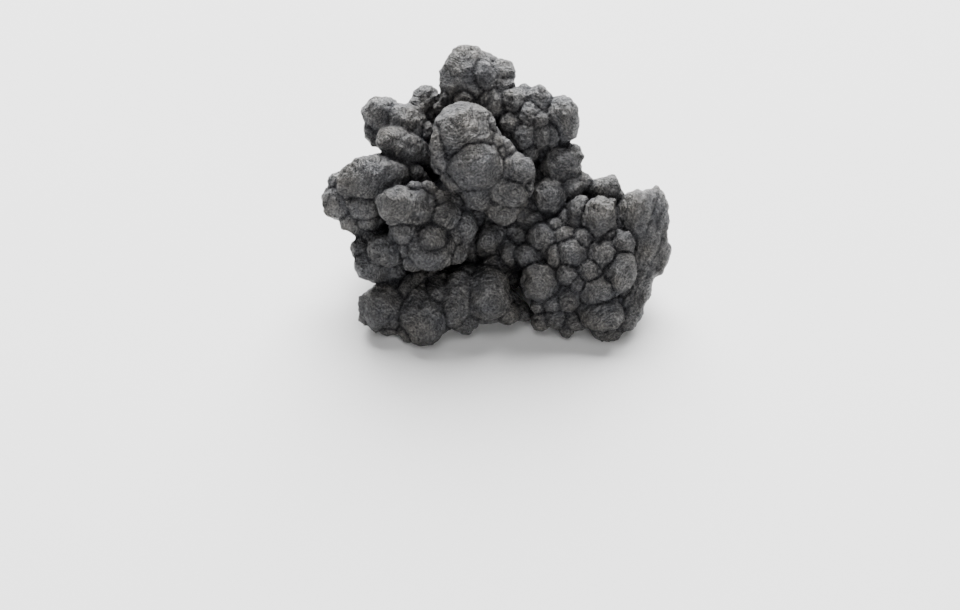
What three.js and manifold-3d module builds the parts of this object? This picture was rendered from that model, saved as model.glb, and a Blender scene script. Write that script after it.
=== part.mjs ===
// A cluster of lead nodules, grown together on a cathode into one piece, as it rests on a table.
// Units are millimetres, +Z is up, and the origin is under the middle of the cluster, on the table.
import * as THREE from "three";
import { SimplifyModifier } from "three/addons/modifiers/SimplifyModifier.js";
import { mergeVertices } from "three/addons/utils/BufferGeometryUtils.js";
import Module from "manifold-3d";

// The nodules are measured on an upright picture of the cluster: a plane through its middle,
// square to the line of sight of an eye that looks down on it.
const SIGHT_ELEVATION = 36.9; // degrees above the table
const EYE_DISTANCE = 397; // from the eye to the plane
const PLANE_HEIGHT = 12.5; // from the table to the plane's middle

// A nodule is a drop: a faceted dome, the front of the measured ellipsoid, with straight sides that
// run back towards its lobe's root and meet a little past it.
const DOME_ANGLE = 100; // degrees from the tip of a dome to its rim
const TAIL_PAST = 0.4; // how far past the root its sides would meet, as a share of its length
const DEPTH_SHARE = 0.95; // a head's half depth, as a share of the smaller of its other half sizes
const FACET = 0.9; // the wanted length of a facet's side
const SIDES = [6, 14]; // fewest and most facets round a dome
const RINGS = [2, 4]; // fewest and most rings of facets from its tip to its rim

// Buds crowd round the heads on the far side, in one ring.
const BUD_SIZES = [0.66, 0.5, 0.58, 0.46]; // shares of the head they sit on
const BUD_TILT = 62; // degrees from the head's growth axis to a bud
const BUD_REACH = 0.78; // from the head's middle to a bud's middle, as a share of the head's size

const CORNERS = 4850; // corners kept when the sliver facets along the creases are thinned out
const PINCH_GAP = 0.03; // how far each of two folds that touch in one corner is drawn back

const BODY_DETAIL = 2; // how often the facets of a body are halved
const TABLE_BLOCK = 100; // side of the block that flattens the feet, wider than the cluster
const LEAD_GREY = 0x4b4a4c;

// Each lobe has a root inside the cluster, [across, up, near], and bodies that fill it,
// [across, up, near, half width, half height, half depth], under its nodules,
// [across, up, near, half width, half height, turn]. Across and up are where a middle is seen on the
// picture plane, near is how far it stands in front of that plane, and turn is the angle in degrees
// that a nodule's width is turned anticlockwise.
const LOBES = {
  core: {
    root: [0, -2, -6],
    bodies: [[0, -1.5, -5.5, 8, 7, 5.5]],
    nodules: [[-0.7, -4.0, -0.1, 1.3, 1.4]],
  },
  crown: {
    root: [-2, 5, -7],
    bodies: [[-0.6, 10.6, -3.9, 2.6, 3.0, 2.6]],
    nodules: [
      [-2.95, 12.5, -3.5, 3.1, 4.2],
      [-1.5, 14.3, -4.6, 2.0, 1.75],
      [-1.75, 13.6, -2.25, 1.45, 1.6],
      [0.45, 13.8, -4.4, 1.65, 1.4],
      [0.8, 12.3, -3.0, 1.3, 0.85, 12],
      [-5.1, 11.2, -2.2, 0.75, 0.75],
      [-3.3, 10.9, -1.5, 1.3, 1.25],
      [-1.4, 11.0, -1.7, 0.85, 0.9],
      [-0.1, 10.3, -1.6, 0.8, 1.4],
      [-1.3, 9.6, -1.7, 0.75, 0.75],
      [-6.1, 9.8, -2.6, 0.6, 0.65],
    ],
  },
  upper_right_fan: {
    root: [2.5, 4, -7],
    bodies: [[3.9, 7.9, -4.0, 4.0, 4.0, 3.6]],
    nodules: [
      [1.9, 10.7, -2.6, 1.3, 1.45],
      [3.0, 11.7, -3.4, 0.8, 0.9],
      [4.7, 11.1, -2.9, 1.15, 1.45],
      [7.35, 8.75, -3.5, 1.65, 2.5, 5],
      [3.8, 9.1, -1.3, 1.25, 1.25],
      [4.75, 8.5, -0.8, 0.65, 0.8],
      [1.4, 8.3, -1.5, 1.1, 1.05],
      [3.0, 6.8, -1.0, 1.15, 1.25],
      [5.0, 6.9, -1.1, 1.0, 1.3],
      [3.7, 5.3, -1.5, 0.85, 1.15],
      [6.1, 7.1, -1.4, 0.75, 1.25],
    ],
  },
  front_lobe: {
    root: [-0.5, 1, -5],
    bodies: [[0.9, 2.2, 1.2, 3.3, 3.8, 2.6]],
    nodules: [
      [-3.2, 6.5, 2.2, 3.65, 4.15],
      [-2.4, 3.4, 2.9, 2.8, 2.95],
      [-6.0, 6.5, 3.6, 0.95, 2.0, 8],
      [-5.9, 4.2, 2.9, 1.0, 1.3],
      [-4.4, 2.5, 2.9, 1.3, 1.3],
      [-0.6, 8.1, 3.9, 0.8, 0.95],
      [0.1, 6.8, 3.3, 0.85, 0.95],
      [1.2, 5.8, 2.6, 0.7, 0.9],
      [0.2, 5.0, 2.7, 0.85, 0.85],
      [2.4, 3.3, 2.45, 2.05, 1.7, -15],
      [1.6, 1.0, 2.5, 2.15, 1.65, -10],
      [0.9, -1.1, 1.85, 1.8, 1.5],
      [-2.0, 0.6, 2.1, 1.5, 1.65],
      [3.4, 1.5, 2.45, 0.8, 1.3],
    ],
  },
  upper_left_fingers: {
    root: [-3.5, 3.5, -7],
    bodies: [[-8.3, 6.4, -5.2, 3.2, 2.3, 2.2]],
    nodules: [
      [-12.3, 9.2, -4.2, 2.0, 2.1],
      [-12.9, 7.4, -4.4, 1.15, 1.85, 15],
      [-9.4, 8.5, -2.8, 2.25, 1.65, -38],
      [-10.1, 5.95, -1.5, 2.85, 1.75, -22],
      [-7.4, 10.6, -4.8, 1.55, 1.85],
      [-7.3, 7.6, -2.8, 0.9, 0.9],
    ],
  },
  left_lobe: {
    root: [-4, -0.5, -7],
    bodies: [[-11.7, 0.9, -3.3, 4.8, 3.1, 2.7]],
    nodules: [
      [-12.9, 2.4, -1.0, 3.85, 2.7, 6],
      [-8.5, 3.0, -1.2, 0.9, 1.0],
      [-17.0, 2.1, -2.4, 0.9, 1.0, 20],
      [-16.6, -0.2, -2.5, 1.95, 1.9],
      [-14.9, -2.0, -2.7, 1.9, 1.6, -25],
      [-13.8, -0.3, -1.4, 2.0, 2.1],
      [-13.5, -1.9, -1.6, 1.4, 1.3],
    ],
  },
  left_front_lobe: {
    root: [-2, -2, -6],
    bodies: [[-6.9, -2.6, 0.5, 4.4, 3.8, 2.9]],
    nodules: [
      [-9.5, -0.4, 2.0, 3.2, 2.2],
      [-6.8, -4.9, 1.6, 2.6, 2.6],
      [-6.7, -4.4, 2.85, 1.8, 1.55],
      [-8.7, 1.4, 2.4, 0.9, 0.8],
      [-7.3, 1.3, 1.7, 0.95, 0.95],
      [-5.7, 0.2, 1.9, 0.8, 0.9],
      [-5.1, -1.5, 2.4, 1.25, 1.3],
      [-4.2, -0.2, 1.4, 0.8, 0.9],
      [-3.0, -2.6, 1.5, 1.2, 1.65],
      [-9.4, -3.4, 1.9, 1.35, 1.3],
      [-4.1, -5.5, 1.2, 1.25, 1.25],
      [-8.7, -6.6, 1.4, 1.2, 1.0, 10],
      [-4.3, -3.8, 2.1, 0.75, 0.75],
      [-9.2, -5.2, 1.45, 1.0, 1.1],
    ],
  },
  lower_left_fingers: {
    root: [-4, -3.5, -7],
    bodies: [[-10, -5.2, -3.4, 3.2, 2.4, 2.4]],
    nodules: [
      [-11.5, -5.2, -0.4, 1.95, 1.75],
      [-14.4, -5.0, -2.6, 1.1, 1.05],
      [-12.5, -7.2, -1.7, 2.7, 1.55, -5],
      [-12.8, -3.6, -2.6, 1.4, 1.2],
    ],
  },
  foot_lobe: {
    root: [-1.5, -5.5, -6],
    bodies: [[-5.2, -9.8, -2.0, 6.6, 3, 2.6]],
    nodules: [
      [-12.0, -11.4, -1.4, 2.7, 2.45, 15],
      [-13.3, -12.0, -1.5, 1.4, 1.5],
      [-7.5, -12.5, 0.1, 2.4, 3.05],
      [-6.3, -10.0, 0.7, 0.95, 1.15],
      [-4.1, -10.3, 0.4, 1.5, 3.2, -10],
      [-0.5, -9.8, 0.3, 2.2, 2.9],
      [-3.1, -13.2, -0.8, 1.0, 1.1],
      [1.4, -12.0, -1.0, 1.25, 1.2],
      [-9.3, -14.3, -0.2, 0.7, 0.95],
      [-11.5, -13.7, -1.4, 0.9, 0.75],
      [-0.6, -12.4, -0.6, 1.1, 0.75],
      [-9.2, -9.7, -1.0, 1.6, 1.2],
      [-3.4, -8.0, -0.2, 1.3, 1.0, 35],
      [-0.2, -6.9, -1.0, 1.1, 1.2],
      [3.0, -12.0, -2.4, 1.2, 0.9],
    ],
  },
  right_lobe: {
    root: [6, -4.5, -7],
    bodies: [[8.6, -6.3, -3.0, 6.4, 6.1, 4.7]],
    nodules: [
      [4.2, -2.0, -0.9, 1.2, 1.1],
      [5.05, -3.8, 0.3, 1.5, 1.65],
      [2.7, -3.9, -0.9, 0.85, 0.85],
      [2.4, -2.6, -1.6, 0.6, 0.6],
      [1.45, -5.6, -0.4, 0.85, 1.3],
      [3.5, -5.9, 0.4, 1.3, 1.25],
      [4.65, -8.6, 0.9, 1.95, 2.05],
      [6.3, -2.6, 0.3, 0.9, 0.85],
      [7.4, -3.6, 1.1, 0.9, 0.85],
      [8.25, -5.4, 1.4, 1.4, 1.6],
      [9.3, -4.0, 1.3, 0.9, 0.95],
      [6.3, -5.8, 1.5, 0.65, 1.0],
      [11.45, -5.5, 1.2, 1.4, 1.3],
      [7.75, -7.8, 1.8, 0.9, 1.0],
      [10.1, -7.4, 1.7, 1.0, 0.95],
      [7.9, -10.4, 0.8, 0.95, 1.4, -15],
      [8.8, -8.9, 1.6, 0.65, 0.75],
      [13.5, -7.6, 0.2, 1.55, 2.1, -10],
      [10.9, -9.5, 1.0, 1.75, 1.55],
      [11.5, -12.1, -0.3, 2.4, 1.85],
      [13.6, -4.5, 0.0, 1.45, 1.5, -20],
      [11.3, -1.7, -0.2, 1.65, 2.15],
      [8.9, -1.1, -0.2, 1.35, 1.75, -25],
      [7.6, -1.7, 0.0, 0.65, 1.0],
      [12.0, -3.6, 0.7, 0.95, 0.5, 25],
      [12.6, 0.0, -0.9, 0.5, 0.5],
      [12.1, -13.9, -1.1, 1.8, 1.15],
      [4.9, -12.8, -1.2, 1.15, 1.2],
      [6.5, -12.4, -0.6, 1.1, 1.2],
      [6.2, -10.8, 0.1, 1.0, 1.0],
      [8.7, -12.9, -0.6, 1.4, 0.9],
      [7.7, -13.9, -0.9, 0.75, 0.75],
      [4.5, -11.2, -0.4, 0.8, 0.75],
    ],
  },
  right_shoulder: {
    root: [5, -1.5, -8],
    bodies: [[7, 1.0, -4.4, 3.4, 2.6, 2.4]],
    nodules: [
      [5.75, 0.5, -0.9, 1.7, 1.9, 10],
      [4.6, -0.6, -1.2, 0.85, 0.9],
      [8.2, 1.2, -1.6, 1.0, 1.2],
      [9.5, 2.0, -2.4, 0.85, 1.05],
      [11.7, 1.45, -2.2, 1.7, 1.3, 20],
      [13.4, 0.6, -2.2, 0.5, 0.7],
      [7.0, 3.85, -2.5, 2.3, 1.9, 22],
      [8.35, 5.05, -2.7, 1.0, 0.95],
    ],
  },
  right_edge: {
    root: [8, -5, -7],
    bodies: [
      [14.4, -4.6, -3.3, 3.5, 5.6, 2.8],
      [13.8, -9.6, -2.7, 2.2, 3.1, 2.4],
    ],
    nodules: [
      [14.9, -0.9, -1.7, 1.5, 2.2, -15],
      [17.2, -0.8, -3.0, 1.3, 2.5],
      [17.1, -5.3, -3.2, 1.6, 2.5, 3],
      [16.0, -4.4, -2.0, 1.5, 3.2, -8],
      [16.7, -6.7, -2.9, 1.05, 1.3, -20],
      [15.6, -9.2, -1.7, 1.15, 1.8],
      [14.9, -11.6, -1.3, 0.95, 1.4],
      [14.0, -12.8, -1.0, 1.0, 1.05],
    ],
  },
};

// The far side and the underside, which the picture doesn't show:
// heads as [across, up, near, size], each with its ring of buds
const FAR_ROOT = [0, -1, -6];
const FAR_BODIES = [
  [0, 1, -8.8, 10.5, 5.5, 4.2],
  [0, -5.3, -6.4, 9, 3.5, 4],
];
const FAR_HEADS = [
  [-8.5, 5.5, -8, 2.5],
  [-2.5, 8, -8, 2.8],
  [3.2, 6.5, -8.5, 2.6],
  [6.5, 3.5, -8.5, 2.2],
  [12, -1.8, -7, 2.2],
  [14, -5.5, -6.3, 2.2],
  [-13, -0.5, -6.5, 2.3],
  [-11.2, 2.2, -8, 2.1],
  [-9.5, -1.5, -10.5, 2.5],
  [-4.5, 2.5, -12, 2.7],
  [1.5, 3, -12, 2.7],
  [7, 0, -11.5, 2.6],
  [11, -4, -9.3, 2.4],
  [-6.5, -3.4, -12.4, 2.6],
  [4, -3, -12.8, 2.7],
  [-1, -0.8, -13.4, 2.6],
  [-9, -5.2, -7.5, 2],
  [-3.5, -6.1, -8.5, 2.1],
  [1.5, -7.5, -6.8, 2.1],
  [7, -7.7, -6.5, 2.2],
  [11.5, -8.9, -5, 2.1],
  [-5.5, -8.2, -6, 2],
];

// Axes of the picture plane in the standing frame
const tilt = THREE.MathUtils.degToRad(SIGHT_ELEVATION);
const acrossAxis = new THREE.Vector3(1, 0, 0);
const upAxis = new THREE.Vector3(0, Math.sin(tilt), Math.cos(tilt));
const nearAxis = new THREE.Vector3(0, -Math.cos(tilt), Math.sin(tilt));

// Things nearer to the eye look larger, so a measure on the plane shrinks along its line of sight.
const sightShare = (near) => 1 - near / EYE_DISTANCE;

// A point measured on the picture, in the standing frame
function standingPoint([across, up, near]) {
  const share = sightShare(near);
  return new THREE.Vector3(0, 0, PLANE_HEIGHT)
    .addScaledVector(acrossAxis, across * share)
    .addScaledVector(upAxis, up * share)
    .addScaledVector(nearAxis, near);
}

// A measured nodule as a head: its middle, its three half axes and its root.
function measuredHead([across, up, near, halfWidth, halfHeight, turn = 0], root) {
  const share = sightShare(near);
  const angle = THREE.MathUtils.degToRad(turn);
  const widthAxis = acrossAxis.clone().applyAxisAngle(nearAxis, angle);
  const heightAxis = upAxis.clone().applyAxisAngle(nearAxis, angle);
  const halfDepth = DEPTH_SHARE * Math.min(halfWidth, halfHeight);
  return {
    middle: standingPoint([across, up, near]),
    halfAxes: [
      widthAxis.multiplyScalar(halfWidth * share),
      heightAxis.multiplyScalar(halfHeight * share),
      nearAxis.clone().multiplyScalar(halfDepth * share),
    ],
    root: standingPoint(root),
  };
}

// A round head of one size
function roundHead(middle, size, root) {
  const halfAxes = [acrossAxis, upAxis, nearAxis].map((axis) => axis.clone().multiplyScalar(size));
  return { middle, halfAxes, root };
}

// A far head and the ring of buds on it, each ring started at its own angle
function farHeads([across, up, near, size], index) {
  const root = standingPoint(FAR_ROOT);
  const middle = standingPoint([across, up, near]);
  const growth = middle.clone().sub(root).normalize();
  const sideways = new THREE.Vector3().crossVectors(growth, upAxis).normalize();
  const lean = THREE.MathUtils.degToRad(BUD_TILT);
  const buds = BUD_SIZES.map((share, position) => {
    const turn = (position / BUD_SIZES.length) * 2 * Math.PI + index;
    const direction = sideways.clone().applyAxisAngle(growth, turn).multiplyScalar(Math.sin(lean));
    direction.addScaledVector(growth, Math.cos(lean));
    return roundHead(middle.clone().addScaledVector(direction, BUD_REACH * size), share * size, root);
  });
  return [roundHead(middle, size, root), ...buds];
}

// A drop starts as a cone. Its sides swell out to the dome, and its base is drawn out to the tail.
function dropGeometry({ middle, halfAxes, root }) {
  const size = Math.max(...halfAxes.map((axis) => axis.length()));
  const sides = THREE.MathUtils.clamp(Math.round((2 * Math.PI * size) / FACET), ...SIDES);
  const rings = THREE.MathUtils.clamp(Math.round((Math.PI * size) / 2 / FACET), ...RINGS);
  const cone = new THREE.ConeGeometry(1, 1, sides, rings);
  cone.deleteAttribute("normal");
  cone.deleteAttribute("uv");
  const drop = mergeVertices(cone);
  const tail = root.clone().lerp(middle, -TAIL_PAST);
  const growth = middle.clone().sub(root).normalize();
  const toGrowth = new THREE.Quaternion().setFromUnitVectors(new THREE.Vector3(0, 1, 0), growth);
  const points = drop.getAttribute("position");
  for (let i = 0; i < points.count; i++) {
    const corner = new THREE.Vector3().fromBufferAttribute(points, i);
    const fromTip = 0.5 - corner.y;
    const isBaseMiddle = corner.y < 0 && Math.hypot(corner.x, corner.z) < Number.EPSILON;
    const point = isBaseMiddle ? tail : domePoint(corner, fromTip, toGrowth, halfAxes).add(middle);
    points.setXYZ(i, point.x, point.y, point.z);
  }
  return drop;
}

// A corner of the cone's side, swelled out to the head's ellipsoid
function domePoint(corner, fromTip, toGrowth, halfAxes) {
  const angle = THREE.MathUtils.degToRad(fromTip * DOME_ANGLE);
  const round = Math.atan2(corner.x, corner.z);
  const direction = new THREE.Vector3().setFromSphericalCoords(1, angle, round).applyQuaternion(toGrowth);
  const point = new THREE.Vector3();
  for (const axis of halfAxes) {
    point.addScaledVector(axis, direction.dot(axis) / axis.length());
  }
  return point;
}

// A lobe's body is a faceted ball that fills it behind the heads of its nodules.
function bodyGeometry([across, up, near, halfWidth, halfHeight, halfDepth]) {
  const ball = new THREE.IcosahedronGeometry(1, BODY_DETAIL);
  ball.deleteAttribute("normal");
  ball.deleteAttribute("uv");
  const body = mergeVertices(ball);
  const frame = new THREE.Matrix4().makeBasis(
    acrossAxis.clone().multiplyScalar(halfWidth),
    upAxis.clone().multiplyScalar(halfHeight),
    nearAxis.clone().multiplyScalar(halfDepth),
  );
  body.applyMatrix4(frame.setPosition(standingPoint([across, up, near])));
  return body;
}

const wasm = await Module();
wasm.setup();

function solidOf(geometry) {
  const vertProperties = new Float32Array(geometry.getAttribute("position").array);
  const triVerts = new Uint32Array(geometry.index.array);
  return new wasm.Manifold(new wasm.Mesh({ numProp: 3, vertProperties, triVerts }));
}

function geometryOf(solid) {
  const { vertProperties, triVerts } = solid.getMesh();
  const geometry = new THREE.BufferGeometry();
  geometry.setAttribute("position", new THREE.BufferAttribute(vertProperties, 3));
  geometry.setIndex(new THREE.BufferAttribute(triVerts, 1));
  return geometry;
}

// Where two folds of the surface touch in one corner, each is drawn back into its own side.
function partPinches(geometry) {
  geometry.computeVertexNormals();
  const points = geometry.getAttribute("position");
  const normals = geometry.getAttribute("normal");
  const cornersAt = new Map();
  for (let i = 0; i < points.count; i++) {
    const spot = new THREE.Vector3().fromBufferAttribute(points, i).toArray().join();
    cornersAt.set(spot, [...(cornersAt.get(spot) ?? []), i]);
  }
  const pinched = [...cornersAt.values()].filter((corners) => corners.length > 1).flat();
  for (const i of pinched) {
    const point = new THREE.Vector3().fromBufferAttribute(points, i);
    point.addScaledVector(new THREE.Vector3().fromBufferAttribute(normals, i), -PINCH_GAP);
    points.setXYZ(i, point.x, point.y, point.z);
  }
  geometry.deleteAttribute("normal");
}

// Everything below the table top is worn away, which leaves small flats under the lowest nodules.
function tableBlock() {
  const block = new THREE.BoxGeometry(TABLE_BLOCK, TABLE_BLOCK, TABLE_BLOCK);
  block.translate(0, 0, -TABLE_BLOCK / 2);
  block.deleteAttribute("normal");
  block.deleteAttribute("uv");
  return mergeVertices(block);
}

const seenHeads = Object.values(LOBES).flatMap(({ root, nodules }) =>
  nodules.map((nodule) => measuredHead(nodule, root)),
);
const heads = [...seenHeads, ...FAR_HEADS.flatMap(farHeads)];
const bodies = [...Object.values(LOBES).flatMap((lobe) => lobe.bodies), ...FAR_BODIES];
const grown = [...bodies.map(bodyGeometry), ...heads.map(dropGeometry)]
  .map(solidOf)
  .reduce((sum, solid) => sum.add(solid));
const fine = geometryOf(grown);
const spare = fine.getAttribute("position").count - CORNERS;
const plain = await new SimplifyModifier().modify(fine, spare);
const rested = solidOf(mergeVertices(plain)).subtract(solidOf(tableBlock()));

const geometry = geometryOf(rested);
partPinches(geometry);
geometry.computeBoundingBox();
const middle = geometry.boundingBox.getCenter(new THREE.Vector3());
geometry.translate(-middle.x, -middle.y, 0);

const cluster = new THREE.Group();
const material = new THREE.MeshStandardMaterial({ color: LEAD_GREY, roughness: 0.55, metalness: 0.6 });
const nodules = new THREE.Mesh(geometry, material);
nodules.name = "lead_cluster";
cluster.add(nodules);

export default cluster;
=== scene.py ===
# %% [markdown]
# # A cluster of lead nodules
# Lead that is plated out of a bath too fast doesn't settle as a smooth skin. It grows as rounded knobs,
# each with its tail towards the place where its lobe began, until the lobes touch and join. The piece
# here is about 37 mm wide. This lesson builds it from the knobs that can be counted on its seen side.

import bpy
import numpy as np
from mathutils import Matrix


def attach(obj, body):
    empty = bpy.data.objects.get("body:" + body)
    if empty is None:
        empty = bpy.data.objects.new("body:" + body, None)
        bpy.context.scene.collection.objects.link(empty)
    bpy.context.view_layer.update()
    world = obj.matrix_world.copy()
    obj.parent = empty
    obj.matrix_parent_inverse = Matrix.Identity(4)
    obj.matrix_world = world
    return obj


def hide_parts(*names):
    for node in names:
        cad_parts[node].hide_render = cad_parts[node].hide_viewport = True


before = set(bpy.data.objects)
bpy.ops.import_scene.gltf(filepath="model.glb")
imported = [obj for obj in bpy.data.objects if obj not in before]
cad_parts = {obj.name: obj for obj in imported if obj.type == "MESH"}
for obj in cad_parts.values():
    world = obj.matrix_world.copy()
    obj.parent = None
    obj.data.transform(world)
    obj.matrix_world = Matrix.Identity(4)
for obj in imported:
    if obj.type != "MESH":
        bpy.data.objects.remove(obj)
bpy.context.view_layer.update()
MM = 0.001
print("solid nodes:", len(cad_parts))

# %% [markdown]
# ## Where the knobs are
# Every knob was measured on a picture plane that stands square to the line of sight: how far it lies
# across and up, how near it stands, its half width and half height, and its turn in degrees. One could
# model the cluster by sculpting, but a list keeps each knob where it really is. Things nearer to the eye
# look larger, so a measure shrinks along its line of sight. The solid model has its origin under the
# middle of its own box, so that middle is taken off every place.

# %% The picture plane in the standing frame
SIGHT_ELEVATION = np.radians(36.9)
EYE_DISTANCE = 397.0
PLANE_HEIGHT = 12.5
BOX_MIDDLE = np.array([0.1249, 2.4321, 0.0])
ACROSS = np.array([1.0, 0.0, 0.0])
UP = np.array([0.0, np.sin(SIGHT_ELEVATION), np.cos(SIGHT_ELEVATION)])
NEAR = np.array([0.0, -np.cos(SIGHT_ELEVATION), np.sin(SIGHT_ELEVATION)])
PLANE_MIDDLE = np.array([0.0, 0.0, PLANE_HEIGHT]) - BOX_MIDDLE


def standing(places):
    """Rows of (across, up, near) in mm as points: the plane's middle, plus across and up shrunk by
    1 - near / eye distance along their axes, plus near along the line of sight."""
    across, up, near = np.asarray(places, float).T
    share = 1 - near / EYE_DISTANCE
    flat = np.outer(across * share, ACROSS) + np.outer(up * share, UP)
    return PLANE_MIDDLE + flat + np.outer(near, NEAR)


def unit(vectors):
    """Vectors divided by their lengths."""
    return vectors / np.linalg.norm(vectors, axis=-1, keepdims=True)


print("middle of the picture plane in mm:", np.round(PLANE_MIDDLE, 2))

# %% [markdown]
# ## The lobes
# A lobe has a root inside the cluster, bodies that fill it, and knobs on its skin. Its fill says how far
# the gaps between its knobs have grown shut, which is most on the front lobes and least among the round
# knobs on the right. Its seam says how deep a crease is left where two knobs meet. Both are in mm.

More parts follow.
